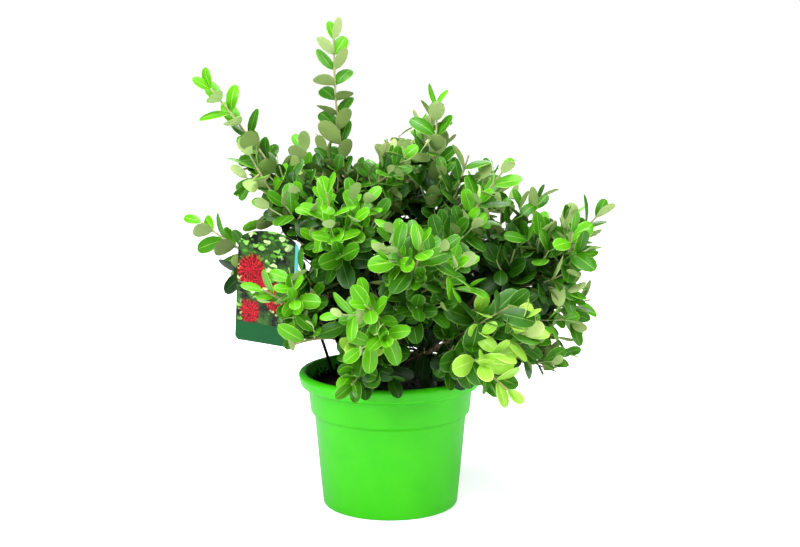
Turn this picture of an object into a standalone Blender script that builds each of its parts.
# A young pohutukawa in a green plastic nursery pot, with a picture label on a stick.
# Metres, +Z up. The origin is the centre of the pot's flat underside, and the photographed side faces -Y.
# The shrub forks low: a short trunk, boughs that leave it or each other, and at each bough's tip one
# mass of foliage. A mass is one solid: a stem, its twigs, and opposite pairs of leaves fused to them.
import math
import random
from collections import namedtuple

import bmesh
import bpy
import numpy as np
from mathutils import Matrix, Vector

UP = Vector((0, 0, 1))
GAP = 0.0003  # left between pieces that touch

# Pot: a turned shell with a thick lip, and a collar that steps in to the body
POT_HEIGHT = 0.163
RIM_RADIUS = 0.110
RIM_FOOT_RADIUS = 0.1080  # the lip's face leans in a little towards its lower edge
RIM_FOOT_HEIGHT = 0.1485
RIM_ROLL = 0.005  # radius of the crest
LIP_BEVEL = (0.0015, 0.0018)  # inwards and down, at the lip's lower edge
COLLAR_TOP_RADIUS = 0.0988
COLLAR_TOP_HEIGHT = 0.1445
COLLAR_FOOT_RADIUS = 0.0957
COLLAR_FOOT_HEIGHT = 0.1140
STEP_RADIUS = 0.0915  # the body's top, under the collar's sloping step
STEP_HEIGHT = 0.1115
BASE_RADIUS = 0.0815
BASE_ROUNDING = 0.003
POT_WALL = 0.002
FLOOR_THICKNESS = 0.003
TURN_STEPS = 36
SOIL_LEVEL = 0.142
SOIL_GAP = 0.00045  # between the soil and the pot's side

# Trunk: short, flared at its foot, leaning a little to the right
TRUNK_TOP = Vector((0.004, 0.002, 0.196))
TRUNK_RISE = 0.022  # it leaves the soil upright, and leans above about half of this
TRUNK_START = 0.0015  # straight length at the foot, so that the foot is cut level
TRUNK_FOOT_RADIUS = 0.0125
TRUNK_WAIST_RADIUS = 0.0075
TRUNK_FLARE_POWER = 6  # how fast the flare dies out
TRUNK_TOP_RADIUS = 0.0052
TRUNK_SEGMENTS = 6
TRUNK_FORK = 0.9  # above this share of the trunk, a bough goes on from its top
TRUNK_ROUNDNESS = 4  # bevel resolution, for twelve sides
BOUGH_START = 0.6  # a bough starts at this share of the trunk's radius, on its own side

# Boughs
HEART = Vector((0, 0, 0.180))  # headings and lifts are measured from here
MAIN_BOUGH_RADIUS = 0.0037
SIDE_BOUGH_RADIUS = 0.0030
BOUGH_TIP_RADIUS = 0.0024
BOUGH_SEGMENTS = 3
HEEL = 0.0036  # a bough reaches its full thickness this far from its parent's middle
HEEL_NARROWING = 0.3  # share of that thickness at the middle itself
FOOT_GAP = 0.00036  # between a bough's foot and the side that it leaves
BOUGH_ROUNDNESS = 1  # for six sides

# Stems and twigs of a mass
SEED = 11
STEM_RADII = (0.0024, 0.0015)  # at the foot and at the tip
STEM_SEGMENTS = 5
TWIG_RADII = (0.0019, 0.0014)
TWIG_SEGMENTS = 3
FIRST_NODE = 0.011
INTERNODE = 0.0255
TIP_INSET = 0.002  # the last pair stands this far below the tip
TUFT = 0.014  # and reaches this far beyond it
TWIG_LENGTH = 0.080
TWIG_SIZES = (0.8, 1.15)  # least and greatest length beside that one
TWIG_SHRINK = 0.5  # how much shorter a twig is at its stem's tip
TWIG_CUTS = (1.0, 0.8, 0.6)  # a twig with no room is tried again, shorter
SHORTEST_TWIG = 0.030
TWIG_CHANCE = 0.40
TWIG_SPREAD = math.radians(48)
TWIG_TILT = 0.15  # radians, either way
TWIG_SWAY = 0.45  # how far a twig turns back to its stem's heading
TWIG_RISE = 0.30  # and to the sky
WOOD_STEP = 0.004  # spacing of the points that stand for a shoot where room is measured
SPACE_MARGIN = 0.0024  # how much nearer a point lies to its own stem than to another's
LIMB_MARGIN = 0.0036  # around trunk, boughs and stick
MADE_MARGIN = 0.0025  # around pot, soil and label
STEM_STEPS = 16  # where the masses' spaces are measured
ROD_STEPS = 32  # where limbs and stick are
TWIG_ROOM = 0.0032  # between a leaf and its mass's twigs
LEAF_ROOM = 0.0046  # between two leaves

# Leaves
LEAF_LENGTH = 0.050
LEAF_WIDTH = 0.52  # share of the length, as are the next three
LEAF_THICKNESS = 0.034
LOW_SHOULDER = 0.38
HIGH_SHOULDER = 0.78
HIGH_WIDTH = 0.88  # share of the low shoulder's width
LEAF_SINK = 0.0002  # how far past the middle of its twig a leaf's root reaches
BASE_SPREAD = math.radians(62)  # from its shoot's heading, at the shoot's foot
TIP_SPREAD = math.radians(34)
PAIR_TURN = math.radians(90)  # each pair stands across the one below it
LIGHT_PULL = 0.40  # how far leaves turn their upper face to the sky
LEAF_SAG = 0.08
LEAF_TILT = 0.16  # radians, either way
LEAF_ROLL = 0.35
LEAF_SIZES = (0.9, 1.1)  # least and greatest length beside the usual one
TIP_SIZES = (0.62, 0.82)  # sizes of a shoot's last two pairs beside the others
TUCKS = (0.0, 0.4, 0.8)  # a leaf with no room is tried again, closer to its shoot
TUCK_TURN = 0.8  # how much of its spread it loses at a tuck of one
TUCK_SHRINK = 0.35  # and of its length

# Label and its stick
LABEL_WIDTH = 0.080
LABEL_HEIGHT = 0.134
LABEL_THICKNESS = 0.0008
LABEL_ARCH = 0.017  # height of the arched top
LABEL_CORNER = 0.006
LABEL_CENTRE = Vector((-0.1440, -0.036, 0.2690))
LABEL_YAW = math.radians(-25)
LABEL_ROLL = math.radians(3.5)
STICK_FOOT = Vector((-0.0705, 0.0520, SOIL_LEVEL + GAP))
STICK_RADIUS = 0.0019
STICK_BEND = Vector((0.012, 0.0, 0.006))
CLIP_SIZE = Vector((0.0062, 0.0040, 0.0150))
CLIP_PLACE = (0.004, 0.0590)  # right of and above the label's centre

# Each mass: where its last leaves end, seen from the heart (degrees from +X, degrees up, metres), how its
# limb bows, what its bough leaves and at which share of it, the share of its limb that is bare bough, the
# share of its stem that bears twigs, and its turn in degrees.
# A bow above 0 rises first and then leans out, and one below 0 leans out first and then turns up.
Mass = namedtuple("Mass", "name heading lift reach bow parent share bare wooded phase")
CROWN = [
    Mass("leader", 171, 80, 0.396, -0.10, "trunk", 0.94, 0.36, 0.30, 45),
    Mass("left_high", -172, 57, 0.396, 0.05, "trunk", 0.76, 0.42, 0.45, 20),
    Mass("right_centre_high", 19, 79, 0.318, -0.10, "trunk", 0.80, 0.38, 0.60, 10),
    Mass("far_right", -4, 35, 0.310, -0.10, "trunk", 0.58, 0.40, 0.65, 30),
    Mass("right_bottom", -5, 2, 0.222, 0.11, "trunk", 0.32, 0.42, 0.55, 45),
    Mass("front_centre", -80, 41, 0.266, -0.06, "trunk", 0.70, 0.36, 0.70, 0),
    Mass("front_right_upper", -49, 24, 0.232, -0.02, "trunk", 0.44, 0.46, 0.60, 45),
    Mass("front_bottom", -106, 0, 0.168, 0.20, "trunk", 0.34, 0.42, 0.50, 10),
    Mass("front_left_upper", -142, 29, 0.222, 0.02, "trunk", 0.54, 0.40, 0.60, 15),
    Mass("back_right_high", 46, 50, 0.276, -0.08, "trunk", 0.62, 0.36, 0.70, 25),
    Mass("back_low", 100, 18, 0.246, 0.02, "trunk", 0.44, 0.40, 0.70, 35),
    Mass("back_left_high", 130, 50, 0.268, -0.04, "leader", 0.10, 0.36, 0.70, 40),
    Mass("left_inner", 147, 63, 0.284, -0.04, "leader", 0.22, 0.28, 0.70, 5),
    Mass("centre_high", -97, 84, 0.278, 0.06, "leader", 0.30, 0.20, 0.70, 0),
    Mass("left_mid", -170, 56, 0.308, -0.10, "left_high", 0.34, 0.22, 0.60, 0),
    Mass("left_low", 170, 34, 0.294, -0.08, "left_high", 0.16, 0.36, 0.50, 30),
    Mass("front_left_high", -121, 57, 0.264, -0.06, "left_high", 0.24, 0.22, 0.70, 20),
    Mass("back_high", 84, 66, 0.294, -0.05, "back_left_high", 0.26, 0.30, 0.70, 30),
    Mass("right_high_outer", -17, 59, 0.276, 0.04, "right_centre_high", 0.14, 0.34, 0.60, 15),
    Mass("right_high", 0, 69, 0.272, -0.04, "right_centre_high", 0.30, 0.24, 0.60, 40),
    Mass("right_mid", 18, 44, 0.278, -0.05, "far_right", 0.22, 0.30, 0.65, 30),
    Mass("right_low", 12, 13, 0.272, -0.02, "far_right", 0.34, 0.28, 0.65, 20),
    Mass("front_right_lower", -51, -1, 0.220, 0.10, "front_right_upper", 0.40, 0.20, 0.60, 0),
    Mass("front_mid", -98, 27, 0.230, -0.02, "front_centre", 0.26, 0.28, 0.70, 30),
    Mass("front_left_lower", -128, 14, 0.192, 0.10, "front_left_upper", 0.30, 0.28, 0.60, 40),
    Mass("back_left_low", 143, 18, 0.250, 0.04, "back_low", 0.22, 0.34, 0.70, 10),
    Mass("back_right_low", 46, 18, 0.256, 0.02, "back_low", 0.30, 0.34, 0.70, 20),
]

Limb = namedtuple("Limb", "start middle end")  # control points of one smooth curve
Leaf = namedtuple("Leaf", "root axis face length")


# Curves


def curve_point(limb, t):
    return limb.start * (1 - t) ** 2 + limb.middle * (2 * t * (1 - t)) + limb.end * t * t


def curve_heading(limb, t):
    return ((limb.middle - limb.start) * (1 - t) + (limb.end - limb.middle) * t).normalized()


def stretch_of(limb, t0, t1):
    """The part of a limb between two shares of it, as a limb."""
    middle = (
        limb.start * ((1 - t0) * (1 - t1))
        + limb.middle * ((1 - t0) * t1 + t0 * (1 - t1))
        + limb.end * (t0 * t1)
    )
    return Limb(curve_point(limb, t0), middle, curve_point(limb, t1))


def points_along(limb, count):
    return [curve_point(limb, i / count) for i in range(count + 1)]


def length_of(limb):
    points = points_along(limb, 12)
    return sum((b - a).length for a, b in zip(points, points[1:]))


def across(limb, heading, turn):
    """The direction that stands square to a heading on a limb, at a turn about it."""
    level = (limb.end - limb.start).cross(UP)
    level = (level - heading * level.dot(heading)).normalized()
    return level * math.cos(turn) + heading.cross(level) * math.sin(turn)


def eased(first, last, count):
    """Even steps from one value to another."""
    return [first + (last - first) * i / count for i in range(count + 1)]


# Objects and materials


def clear_scene():
    for obj in list(bpy.data.objects):
        bpy.data.objects.remove(obj)


def new_collection(name):
    collection = bpy.data.collections.new(name)
    bpy.context.scene.collection.children.link(collection)
    return collection


def plain_material(name, colour, roughness):
    material = bpy.data.materials.new(name)
    material.use_nodes = True
    shader = material.node_tree.nodes["Principled BSDF"]
    shader.inputs["Base Color"].default_value = (*colour, 1)
    shader.inputs["Roughness"].default_value = roughness
    shader.inputs["Metallic"].default_value = 0.0
    return material


def linked(name, data, collection):
    obj = bpy.data.objects.new(name, data)
    collection.objects.link(obj)
    return obj


def helper(obj):
    obj.hide_render = True
    obj.display_type = "WIRE"
    return obj


def tube(name, points, radii, collection, roundness=None, section=None):
    """A tapering tube along the points: round with that bevel resolution, or of that section."""
    curve = bpy.data.curves.new(name, "CURVE")
    curve.dimensions = "3D"
    curve.use_fill_caps = True
    if section is None:
        curve.bevel_depth = 1.0
        curve.bevel_resolution = roundness
    else:
        curve.bevel_mode = "OBJECT"
        curve.bevel_object = section
    spline = curve.splines.new("POLY")
    spline.points.add(len(points) - 1)
    for spot, point, radius in zip(spline.points, points, radii):
        spot.co = (*point, 1)
        spot.radius = radius
    return as_mesh(linked(name, curve, collection), collection)


def as_mesh(obj, collection):
    """The evaluated shape of an object as a mesh with its caps welded, in the object's place."""
    bpy.context.view_layer.update()
    evaluated = obj.evaluated_get(bpy.context.evaluated_depsgraph_get())
    mesh = bpy.data.meshes.new_from_object(evaluated)
    shape = bmesh.new()
    shape.from_mesh(mesh)
    bmesh.ops.remove_doubles(shape, verts=shape.verts, dist=1e-6)
    shape.to_mesh(mesh)
    shape.free()
    name, place = obj.name, obj.matrix_world.copy()
    bpy.data.objects.remove(obj)
    made = linked(name, mesh, collection)
    made.matrix_world = place
    return made


def combine(obj, others, operation, solver="EXACT"):
    """Applies a Boolean between an object and a collection's objects, and removes the collection."""
    modifier = obj.modifiers.new("combine", "BOOLEAN")
    modifier.operation = operation
    modifier.operand_type = "COLLECTION"
    modifier.collection = others
    modifier.solver = solver
    bpy.context.view_layer.update()
    evaluated = obj.evaluated_get(bpy.context.evaluated_depsgraph_get())
    mesh = bpy.data.meshes.new_from_object(evaluated)
    obj.modifiers.remove(modifier)
    obj.data = mesh
    for other in list(others.objects):
        bpy.data.objects.remove(other)
    bpy.data.collections.remove(others)


def keep_largest_body(obj):
    """Drops a Boolean's loose scraps, and the inner skin of any hollow that it sealed."""
    shape = bmesh.new()
    shape.from_mesh(obj.data)
    bodies, unseen = [], set(shape.verts)
    while unseen:
        body, edge = set(), {unseen.pop()}
        while edge:
            body |= edge
            edge = {end for vert in edge for link in vert.link_edges for end in link.verts} - body
        bodies.append(body)
        unseen -= body
    scraps = [vert for body in bodies if body is not max(bodies, key=len) for vert in body]
    bmesh.ops.delete(shape, geom=scraps, context="VERTS")
    shape.to_mesh(obj.data)
    shape.free()


def finish(obj, material, smooth_angle=math.radians(35)):
    obj.data.materials.clear()
    obj.data.materials.append(material)
    obj.data.shade_smooth()
    obj.data.set_sharp_from_angle(angle=smooth_angle)


# Pot and soil


def arc(centre, radius, first, last, count):
    """Points on an arc in a plane, between two angles in degrees."""
    angles = [math.radians(angle) for angle in eased(first, last, count)]
    return [(centre[0] + radius * math.cos(a), centre[1] + radius * math.sin(a)) for a in angles]


def body_radius(height):
    """Outer radius of the pot's body under the collar's step."""
    return BASE_RADIUS + (STEP_RADIUS - BASE_RADIUS) * height / STEP_HEIGHT


def cavity_outline():
    """The cavity's outline, from the floor's edge up to the lip."""
    floor_edge = body_radius(FLOOR_THICKNESS) - POT_WALL
    return [
        (floor_edge - BASE_ROUNDING, FLOOR_THICKNESS),
        (floor_edge, FLOOR_THICKNESS + BASE_ROUNDING),
        (STEP_RADIUS - POT_WALL, STEP_HEIGHT),
        (COLLAR_FOOT_RADIUS - POT_WALL, COLLAR_FOOT_HEIGHT),
        (COLLAR_TOP_RADIUS - POT_WALL, RIM_FOOT_HEIGHT),
    ]


def pot_outline():
    """From the floor's middle up the cavity, over the lip, and down the outside to the underside."""
    crest = arc((RIM_RADIUS - RIM_ROLL, POT_HEIGHT - RIM_ROLL), RIM_ROLL, 180, 0, 6)
    lip_edge = [
        (RIM_FOOT_RADIUS, RIM_FOOT_HEIGHT),
        (RIM_FOOT_RADIUS - LIP_BEVEL[0], RIM_FOOT_HEIGHT - LIP_BEVEL[1]),
    ]
    collar = [
        (COLLAR_TOP_RADIUS, COLLAR_TOP_HEIGHT),
        (COLLAR_FOOT_RADIUS, COLLAR_FOOT_HEIGHT),
        (STEP_RADIUS, STEP_HEIGHT),
    ]
    corner = arc((BASE_RADIUS - BASE_ROUNDING, BASE_ROUNDING), BASE_ROUNDING, 0, -90, 3)
    return [(0, FLOOR_THICKNESS), *cavity_outline(), *crest, *lip_edge, *collar, *corner, (0, 0)]


def soil_outline():
    """The cavity's outline, clear of the pot by the gap, cut level at the top."""
    side = [(radius - SOIL_GAP, height) for radius, height in cavity_outline()]
    side[0] = (side[0][0], side[0][1] + GAP)
    low, high = side[-2:]
    share = (SOIL_LEVEL - low[1]) / (high[1] - low[1])
    side[-1] = (low[0] + (high[0] - low[0]) * share, SOIL_LEVEL)
    return [(0, SOIL_LEVEL), *side[::-1], (0, side[0][1])]


def turned(name, outline, collection):
    """A shape turned about the upright axis from its outline."""
    mesh = bpy.data.meshes.new(name)
    points = [(radius, 0, height) for radius, height in outline]
    mesh.from_pydata(points, [(i, i + 1) for i in range(len(points) - 1)], [])
    obj = linked(name, mesh, collection)
    screw = obj.modifiers.new("turn", "SCREW")
    screw.steps = screw.render_steps = TURN_STEPS
    screw.use_merge_vertices = True
    screw.merge_threshold = 0.00005
    return as_mesh(obj, collection)


def pot_keeps_out(point):
    """Whether a point lies in the pot's wall or its soil, or too near them."""
    if point.z > POT_HEIGHT + MADE_MARGIN:
        return False
    reach = math.hypot(point.x, point.y)
    under_lip = point.z < COLLAR_TOP_HEIGHT - MADE_MARGIN
    outside = (COLLAR_TOP_RADIUS if under_lip else RIM_RADIUS) + MADE_MARGIN
    mouth = COLLAR_TOP_RADIUS - POT_WALL - MADE_MARGIN
    return reach < outside and not (reach < mouth and point.z > SOIL_LEVEL + MADE_MARGIN)


# Label and stick


def label_frame():
    """The label's own axes: x to its right, y away from its face, z up it."""
    turn = Matrix.Rotation(LABEL_YAW, 4, "Z") @ Matrix.Rotation(LABEL_ROLL, 4, "Y")
    return Matrix.Translation(LABEL_CENTRE) @ turn


def make_label(collection):
    """A thin plate with an arched top: a flat outline, extruded to both sides."""
    half, top = LABEL_WIDTH / 2, LABEL_HEIGHT / 2
    inset = half - LABEL_CORNER
    right_foot = arc((inset, LABEL_CORNER - top), LABEL_CORNER, -90, 0, 4)
    left_foot = arc((-inset, LABEL_CORNER - top), LABEL_CORNER, 180, 270, 4)
    crown = [(half * x, top - LABEL_ARCH + LABEL_ARCH * y) for x, y in arc((0, 0), 1, 0, 180, 16)]
    outline = [*right_foot, *crown, *left_foot]
    curve = bpy.data.curves.new("label", "CURVE")
    curve.dimensions = "2D"
    curve.fill_mode = "BOTH"
    curve.extrude = LABEL_THICKNESS / 2
    spline = curve.splines.new("POLY")
    spline.use_cyclic_u = True
    spline.points.add(len(outline) - 1)
    for spot, (x, y) in zip(spline.points, outline):
        spot.co = (x, y, 0, 1)
    obj = linked("label", curve, collection)
    obj.matrix_world = label_frame() @ Matrix.Rotation(math.pi / 2, 4, "X")
    return as_mesh(obj, collection)


def clip_place():
    """The middle of the clip, just behind the label, in the label's axes."""
    behind = LABEL_THICKNESS / 2 + GAP + CLIP_SIZE.y / 2
    return Vector((CLIP_PLACE[0], behind, CLIP_PLACE[1]))


def stick_limb():
    top = label_frame() @ clip_place()
    return Limb(STICK_FOOT, (STICK_FOOT + top) / 2 + STICK_BEND, top)


def make_stick(collection):
    """A rod from the soil to a flat clip behind the label, fused in one piece."""
    pieces = new_collection("stick_pieces")
    bpy.ops.mesh.primitive_cube_add(size=1)
    clip = bpy.context.object
    for owner in list(clip.users_collection):
        owner.objects.unlink(clip)
    pieces.objects.link(clip)
    clip.matrix_world = (
        label_frame() @ Matrix.Translation(clip_place()) @ Matrix.Diagonal((*CLIP_SIZE, 1))
    )
    points = points_along(stick_limb(), 5)
    points.insert(1, STICK_FOOT + UP * STICK_RADIUS)
    rod = tube("label_stick", points, [STICK_RADIUS] * len(points), collection, roundness=1)
    combine(rod, pieces, "UNION")
    return rod


def label_keeps_out(points):
    """Whether points that belong together touch the label or lie on both its sides."""
    own = [label_frame().inverted() @ p for p in points]
    half, top = LABEL_WIDTH / 2 + MADE_MARGIN * 2, LABEL_HEIGHT / 2 + MADE_MARGIN * 2
    near = [p.y for p in own if abs(p.x) < half and abs(p.z) < top]
    return bool(near) and min(near) < MADE_MARGIN * 2 and max(near) > -MADE_MARGIN


# Trunk and boughs


def trunk_limb():
    foot = Vector((0, 0, SOIL_LEVEL + GAP))
    return Limb(foot, foot + UP * TRUNK_RISE, TRUNK_TOP)


def trunk_points():
    """Along the trunk, with a short upright start so that the foot is cut level."""
    limb = trunk_limb()
    return [limb.start, limb.start + UP * TRUNK_START, *points_along(limb, TRUNK_SEGMENTS)[1:]]


def trunk_radius(share):
    """A flare at the foot that eases into an even taper."""
    flare = (TRUNK_FOOT_RADIUS - TRUNK_WAIST_RADIUS) * (1 - share) ** TRUNK_FLARE_POWER
    return TRUNK_WAIST_RADIUS + (TRUNK_TOP_RADIUS - TRUNK_WAIST_RADIUS) * share + flare


def trunk_radii():
    shares = [i / TRUNK_SEGMENTS for i in range(TRUNK_SEGMENTS + 1)]
    start = TRUNK_START / length_of(trunk_limb())
    return [trunk_radius(0), trunk_radius(start), *[trunk_radius(share) for share in shares[1:]]]


def tip_of(mass):
    heading, lift = math.radians(mass.heading), math.radians(mass.lift)
    towards = level_of(heading) * math.cos(lift) + UP * math.sin(lift)
    return HEART + towards * (mass.reach - TUFT)


def level_of(heading):
    return Vector((math.cos(heading), math.sin(heading), 0))


def limb_of(mass, limbs):
    """The limb that carries a mass, from its parent to the mass's tip."""
    start = curve_point(limbs[mass.parent], mass.share)
    end = tip_of(mass)
    outward = level_of(math.radians(mass.heading))
    if mass.parent == "trunk" and mass.share < TRUNK_FORK:
        start = start + outward * (trunk_radius(mass.share) * BOUGH_START)
    chord = end - start
    inward = UP.cross(outward).cross(chord).normalized()
    return Limb(start, start + chord / 2 - inward * (mass.bow * chord.length), end)


def limbs_of_all():
    limbs = {"trunk": trunk_limb()}
    for mass in CROWN:
        limbs[mass.name] = limb_of(mass, limbs)
    return limbs


def bough_radii(mass, count):
    foot = MAIN_BOUGH_RADIUS if mass.parent == "trunk" else SIDE_BOUGH_RADIUS
    return eased(foot, BOUGH_TIP_RADIUS, count)


def bough_points(mass, limbs, count):
    return points_along(stretch_of(limbs[mass.name], 0, mass.bare), count)


def lengthened(points):
    """The same points, with the last one moved on by the gap."""
    return [*points[:-1], points[-1] + (points[-1] - points[-2]).normalized() * FOOT_GAP]


def swollen_parent(mass, limbs, cutters):
    """A copy of what a bough leaves, thicker by the gap, to cut the bough's foot to its side."""
    if mass.parent == "trunk":
        points, radii, roundness = trunk_points(), trunk_radii(), TRUNK_ROUNDNESS
    else:
        parent = next(other for other in CROWN if other.name == mass.parent)
        points = bough_points(parent, limbs, BOUGH_SEGMENTS)
        radii, roundness = bough_radii(parent, BOUGH_SEGMENTS), BOUGH_ROUNDNESS
    radii = [radius + FOOT_GAP for radius in radii]
    return helper(tube(mass.name + "_cutter", lengthened(points), radii, cutters, roundness))


def make_trunk(collection):
    return tube("trunk", trunk_points(), trunk_radii(), collection, TRUNK_ROUNDNESS)


def make_bough(mass, limbs, collection):
    """A bough whose narrow heel starts inside its parent, cut to the parent's side."""
    points, radii = bough_points(mass, limbs, BOUGH_SEGMENTS), bough_radii(mass, BOUGH_SEGMENTS)
    heel = points[0] + (points[1] - points[0]).normalized() * HEEL
    points, radii = [points[0], heel, *points[1:]], [radii[0] * HEEL_NARROWING, *radii]
    bough = tube(mass.name + "_bough", points, radii, collection, BOUGH_ROUNDNESS)
    cutters = new_collection(mass.name + "_cutters")
    swollen_parent(mass, limbs, cutters)
    combine(bough, cutters, "DIFFERENCE")
    keep_largest_body(bough)
    return bough


# Foliage


class Space:
    """Which part of the crown belongs to which mass, and what no leaf or twig may touch."""

    def __init__(self, limbs):
        stems = [points_along(stretch_of(limbs[m.name], m.bare, 1), STEM_STEPS) for m in CROWN]
        self.stems = np.array([point for points in stems for point in points])
        self.owners = np.repeat(np.arange(len(CROWN)), STEM_STEPS + 1)
        rods = [(bough_points(mass, limbs, ROD_STEPS), bough_radii(mass, ROD_STEPS)) for mass in CROWN]
        thick = [trunk_radius(i / ROD_STEPS) for i in range(ROD_STEPS + 1)]
        rods.append((points_along(trunk_limb(), ROD_STEPS), thick))
        rods.append((points_along(stick_limb(), ROD_STEPS * 2), [STICK_RADIUS] * (ROD_STEPS * 2 + 1)))
        self.rods = np.array([point for points, _ in rods for point in points])
        self.thick = np.array([radius for _, radii in rods for radius in radii])

    def holds(self, points, owner):
        """Whether all the points lie nearer to their own mass's stem than to any other's."""
        far = np.linalg.norm(np.array(points)[:, None] - self.stems[None], axis=2)
        own = far[:, self.owners == owner].min(axis=1)
        other = far[:, self.owners != owner].min(axis=1)
        return bool((own + SPACE_MARGIN < other).all())

    def is_clear(self, points):
        far = np.linalg.norm(np.array(points)[:, None] - self.rods[None], axis=2)
        if (far < self.thick[None] + LIMB_MARGIN).any():
            return False
        return not (label_keeps_out(points) or any(pot_keeps_out(point) for point in points))

    def takes(self, points, owner):
        return self.holds(points, owner) and self.is_clear(points)


def leaf_corners(leaf):
    """The outline of a leaf: root, low and high shoulder, tip, and back down the other side."""
    side = leaf.axis.cross(leaf.face) * (leaf.length * LEAF_WIDTH / 2)
    low = leaf.root + leaf.axis * (leaf.length * LOW_SHOULDER)
    high = leaf.root + leaf.axis * (leaf.length * HIGH_SHOULDER)
    tip = leaf.root + leaf.axis * leaf.length
    root = leaf.root - leaf.axis * LEAF_SINK
    return [root, low + side, high + side * HIGH_WIDTH, tip, high - side * HIGH_WIDTH, low - side]


def leaf_probes(leaf):
    """Points all over a leaf but its root, which the space rule looks at."""
    root, low, high, tip, far_high, far_low = leaf_corners(leaf)
    rows = [
        (root.lerp(low, 0.55), root.lerp(far_low, 0.55)),
        (low, far_low),
        (low.lerp(high, 0.5), far_low.lerp(far_high, 0.5)),
        (high, far_high),
    ]
    return [a.lerp(b, i / 4) for a, b in rows for i in range(5)] + [tip]


def grown_leaf(root, heading, side, spread, length, roll):
    """A leaf that leaves a shoot at a spread from its heading, face to the shoot's tip and the sky."""
    axis = (heading * math.cos(spread) + side * math.sin(spread) - UP * LEAF_SAG).normalized()
    face = heading * math.sin(spread) - side * math.cos(spread) + UP * LIGHT_PULL
    face = (face - axis * face.dot(axis)).normalized()
    return Leaf(root, axis, Matrix.Rotation(roll, 3, axis) @ face, length)


def node_shares(limb, first):
    """The shares of a shoot at which its pairs of leaves stand, up to its tip."""
    length = length_of(limb)
    last = length - TIP_INSET
    count = max(1, round((last - first) / INTERNODE))
    return [share / length for share in eased(first, last, count)]


def nearest(points, others):
    """The least distance between two sets of points."""
    return np.linalg.norm(np.array(points)[:, None] - np.array(others)[None], axis=2).min()


class Growth:
    """What a mass has grown so far: its shoots, each with its turn, and their leaves."""

    def __init__(self, space, owner, rng):
        self.space, self.owner, self.rng = space, owner, rng
        self.shoots, self.leaves = [], []
        self.wood, self.blades = [], []

    def add_shoot(self, limb, turn):
        self.shoots.append((limb, turn))
        self.wood += points_along(limb, max(4, round(length_of(limb) / WOOD_STEP)))

    def add_leaf(self, leaf):
        """Keeps a leaf if it stays in its space, clear of twigs and of other leaves."""
        probes = leaf_probes(leaf)
        fits = self.space.takes(probes, self.owner) and nearest(probes, self.wood) > TWIG_ROOM
        if fits and (not self.blades or nearest(probes, self.blades) > LEAF_ROOM):
            self.leaves.append(leaf)
            self.blades += probes
            return True
        return False

    def add_twigs(self, stem, phase, wooded):
        """Twigs from the axils of a stem, which bend back towards its heading and the sky."""
        for node, share in enumerate(node_shares(stem, FIRST_NODE)):
            for half in (0, math.pi):
                turn = phase + PAIR_TURN * node + half
                reach = TWIG_LENGTH * self.rng.uniform(*TWIG_SIZES) * (1 - TWIG_SHRINK * share)
                grows = self.rng.random() < TWIG_CHANCE and share < wooded
                for cut in TWIG_CUTS:
                    twig = grown_twig(stem, share, turn, reach * cut, self.rng)
                    path = points_along(twig, 8)[2:]
                    fits = reach * cut > SHORTEST_TWIG and self.space.takes(path, self.owner)
                    if grows and fits and nearest(path, self.wood) > TWIG_ROOM:
                        self.add_shoot(twig, turn)
                        break

    def add_leaves(self, limb, phase):
        """Opposite pairs of leaves at the nodes of a shoot, smaller and steeper towards its tip."""
        shares = node_shares(limb, FIRST_NODE)
        for node, share in enumerate(shares):
            heading = curve_heading(limb, share)
            spread = BASE_SPREAD + (TIP_SPREAD - BASE_SPREAD) * share
            from_tip = len(shares) - 1 - node
            size = LEAF_LENGTH * (TIP_SIZES[from_tip] if from_tip < len(TIP_SIZES) else 1)
            for half in (0, math.pi):
                side = across(limb, heading, phase + PAIR_TURN * node + half)
                tilt = self.rng.uniform(-LEAF_TILT, LEAF_TILT)
                roll = self.rng.uniform(-LEAF_ROLL, LEAF_ROLL)
                length = size * self.rng.uniform(*LEAF_SIZES)
                for tuck in TUCKS:
                    own_spread = (spread + tilt) * (1 - TUCK_TURN * tuck)
                    own_length = length * (1 - TUCK_SHRINK * tuck)
                    root = curve_point(limb, share)
                    if self.add_leaf(grown_leaf(root, heading, side, own_spread, own_length, roll)):
                        break


def grown_twig(stem, share, turn, reach, rng):
    start, heading = curve_point(stem, share), curve_heading(stem, share)
    side = across(stem, heading, turn)
    spread = TWIG_SPREAD + rng.uniform(-TWIG_TILT, TWIG_TILT)
    out = heading * math.cos(spread) + side * math.sin(spread)
    onward = (out + heading * TWIG_SWAY + UP * TWIG_RISE).normalized()
    return Limb(start, start + out * (reach / 2), start + (out + onward) * (reach / 2))


def grow_mass(mass, owner, limbs, space):
    """The stem of a mass, its twigs, and the leaves on all of them."""
    growth = Growth(space, owner, random.Random(SEED + owner))
    limb = limbs[mass.name]
    stem = stretch_of(limb, mass.bare + GAP / length_of(limb), 1)
    phase = math.radians(mass.phase)
    growth.add_shoot(stem, phase)
    growth.add_twigs(stem, phase, mass.wooded)
    for shoot, turn in growth.shoots:
        growth.add_leaves(shoot, turn)
    return growth


def triangle_section():
    """The three-sided section that stems and twigs are drawn with, one metre in radius."""
    curve = bpy.data.curves.new("twig_section", "CURVE")
    curve.dimensions = "2D"
    spline = curve.splines.new("POLY")
    spline.use_cyclic_u = True
    spline.points.add(2)
    for i, spot in enumerate(spline.points):
        turn = -i * math.tau / 3
        spot.co = (math.cos(turn), math.sin(turn), 0, 1)
    return helper(linked("twig_section", curve, bpy.context.scene.collection))


def make_shoot(name, limb, radii, segments, section, collection):
    """A three-sided tapering shoot."""
    points, thick = points_along(limb, segments), eased(*radii, segments)
    return tube(name, points, thick, collection, section=section)


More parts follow.
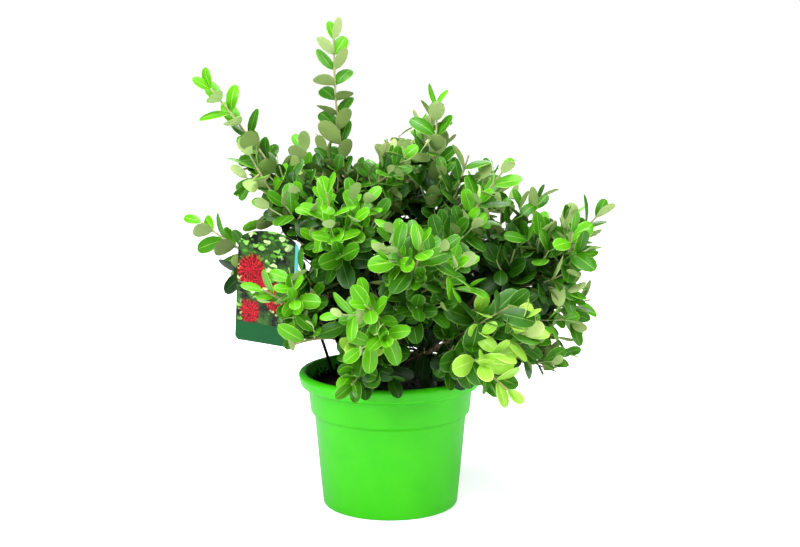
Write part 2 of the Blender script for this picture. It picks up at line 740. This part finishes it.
def leaf_mesh(name, leaf, collection):
    """An eight-sided leaf: a sphere of four by two faces, flattened to a three-cornered upper and lower
    face that stand a half turn apart, so that its outline has six corners."""
    shape = bmesh.new()
    bmesh.ops.create_uvsphere(shape, u_segments=4, v_segments=2, radius=1)
    corners = leaf_corners(leaf)
    lift = leaf.face * (leaf.length * LEAF_THICKNESS / 2)
    pole = Vector((1, 1, 1)).normalized()
    first = Vector((1, -1, 0)).normalized()
    for vert in shape.verts:
        turn = math.atan2(vert.co.dot(pole.cross(first)), vert.co.dot(first))
        place = round(turn / (math.pi / 3) + 0.5) % 6
        rise = 0 if place == 0 else math.copysign(1, vert.co.dot(pole))
        vert.co = corners[place] + lift * rise
    if shape.calc_volume(signed=True) < 0:
        bmesh.ops.reverse_faces(shape, faces=shape.faces)
    mesh = bpy.data.meshes.new(name)
    shape.to_mesh(mesh)
    shape.free()
    return linked(name, mesh, collection)


def make_mass(mass, owner, limbs, space, section, collection):
    """One closed solid: stem, twigs and leaves joined."""
    growth = grow_mass(mass, owner, limbs, space)
    (stem, _), *twigs = growth.shoots
    pieces = new_collection(mass.name + "_pieces")
    for i, (twig, _) in enumerate(twigs):
        make_shoot(f"{mass.name}_twig_{i}", twig, TWIG_RADII, TWIG_SEGMENTS, section, pieces)
    for i, leaf in enumerate(growth.leaves):
        leaf_mesh(f"{mass.name}_leaf_{i}", leaf, pieces)
    name = mass.name + "_foliage"
    obj = make_shoot(name, stem, STEM_RADII, STEM_SEGMENTS, section, collection)
    combine(obj, pieces, "UNION", solver="MANIFOLD")
    keep_largest_body(obj)
    return obj, len(growth.leaves)


def main():
    clear_scene()
    plant = new_collection("potted_pohutukawa")
    green = plain_material("pot_green", (0.06, 0.72, 0.02), 0.35)
    brown = plain_material("soil", (0.02, 0.012, 0.008), 0.95)
    bark = plain_material("bark", (0.28, 0.19, 0.11), 0.8)
    leaf_green = plain_material("foliage", (0.07, 0.22, 0.03), 0.45)
    print_face = plain_material("label", (0.05, 0.3, 0.1), 0.3)
    black = plain_material("stick", (0.01, 0.01, 0.01), 0.4)

    finish(turned("pot", pot_outline(), plant), green)
    finish(turned("soil", soil_outline(), plant), brown)
    finish(make_label(plant), print_face)
    finish(make_stick(plant), black)
    finish(make_trunk(plant), bark)
    limbs = limbs_of_all()
    for mass in CROWN:
        finish(make_bough(mass, limbs, plant), bark)
    space = Space(limbs)
    section = triangle_section()
    total = 0
    for owner, mass in enumerate(CROWN):
        obj, count = make_mass(mass, owner, limbs, space, section, plant)
        finish(obj, leaf_green)
        total += count
        print(mass.name, count, "leaves,", len(obj.data.polygons), "faces")
    bpy.data.objects.remove(section)
    print("leaves in all:", total)


main()
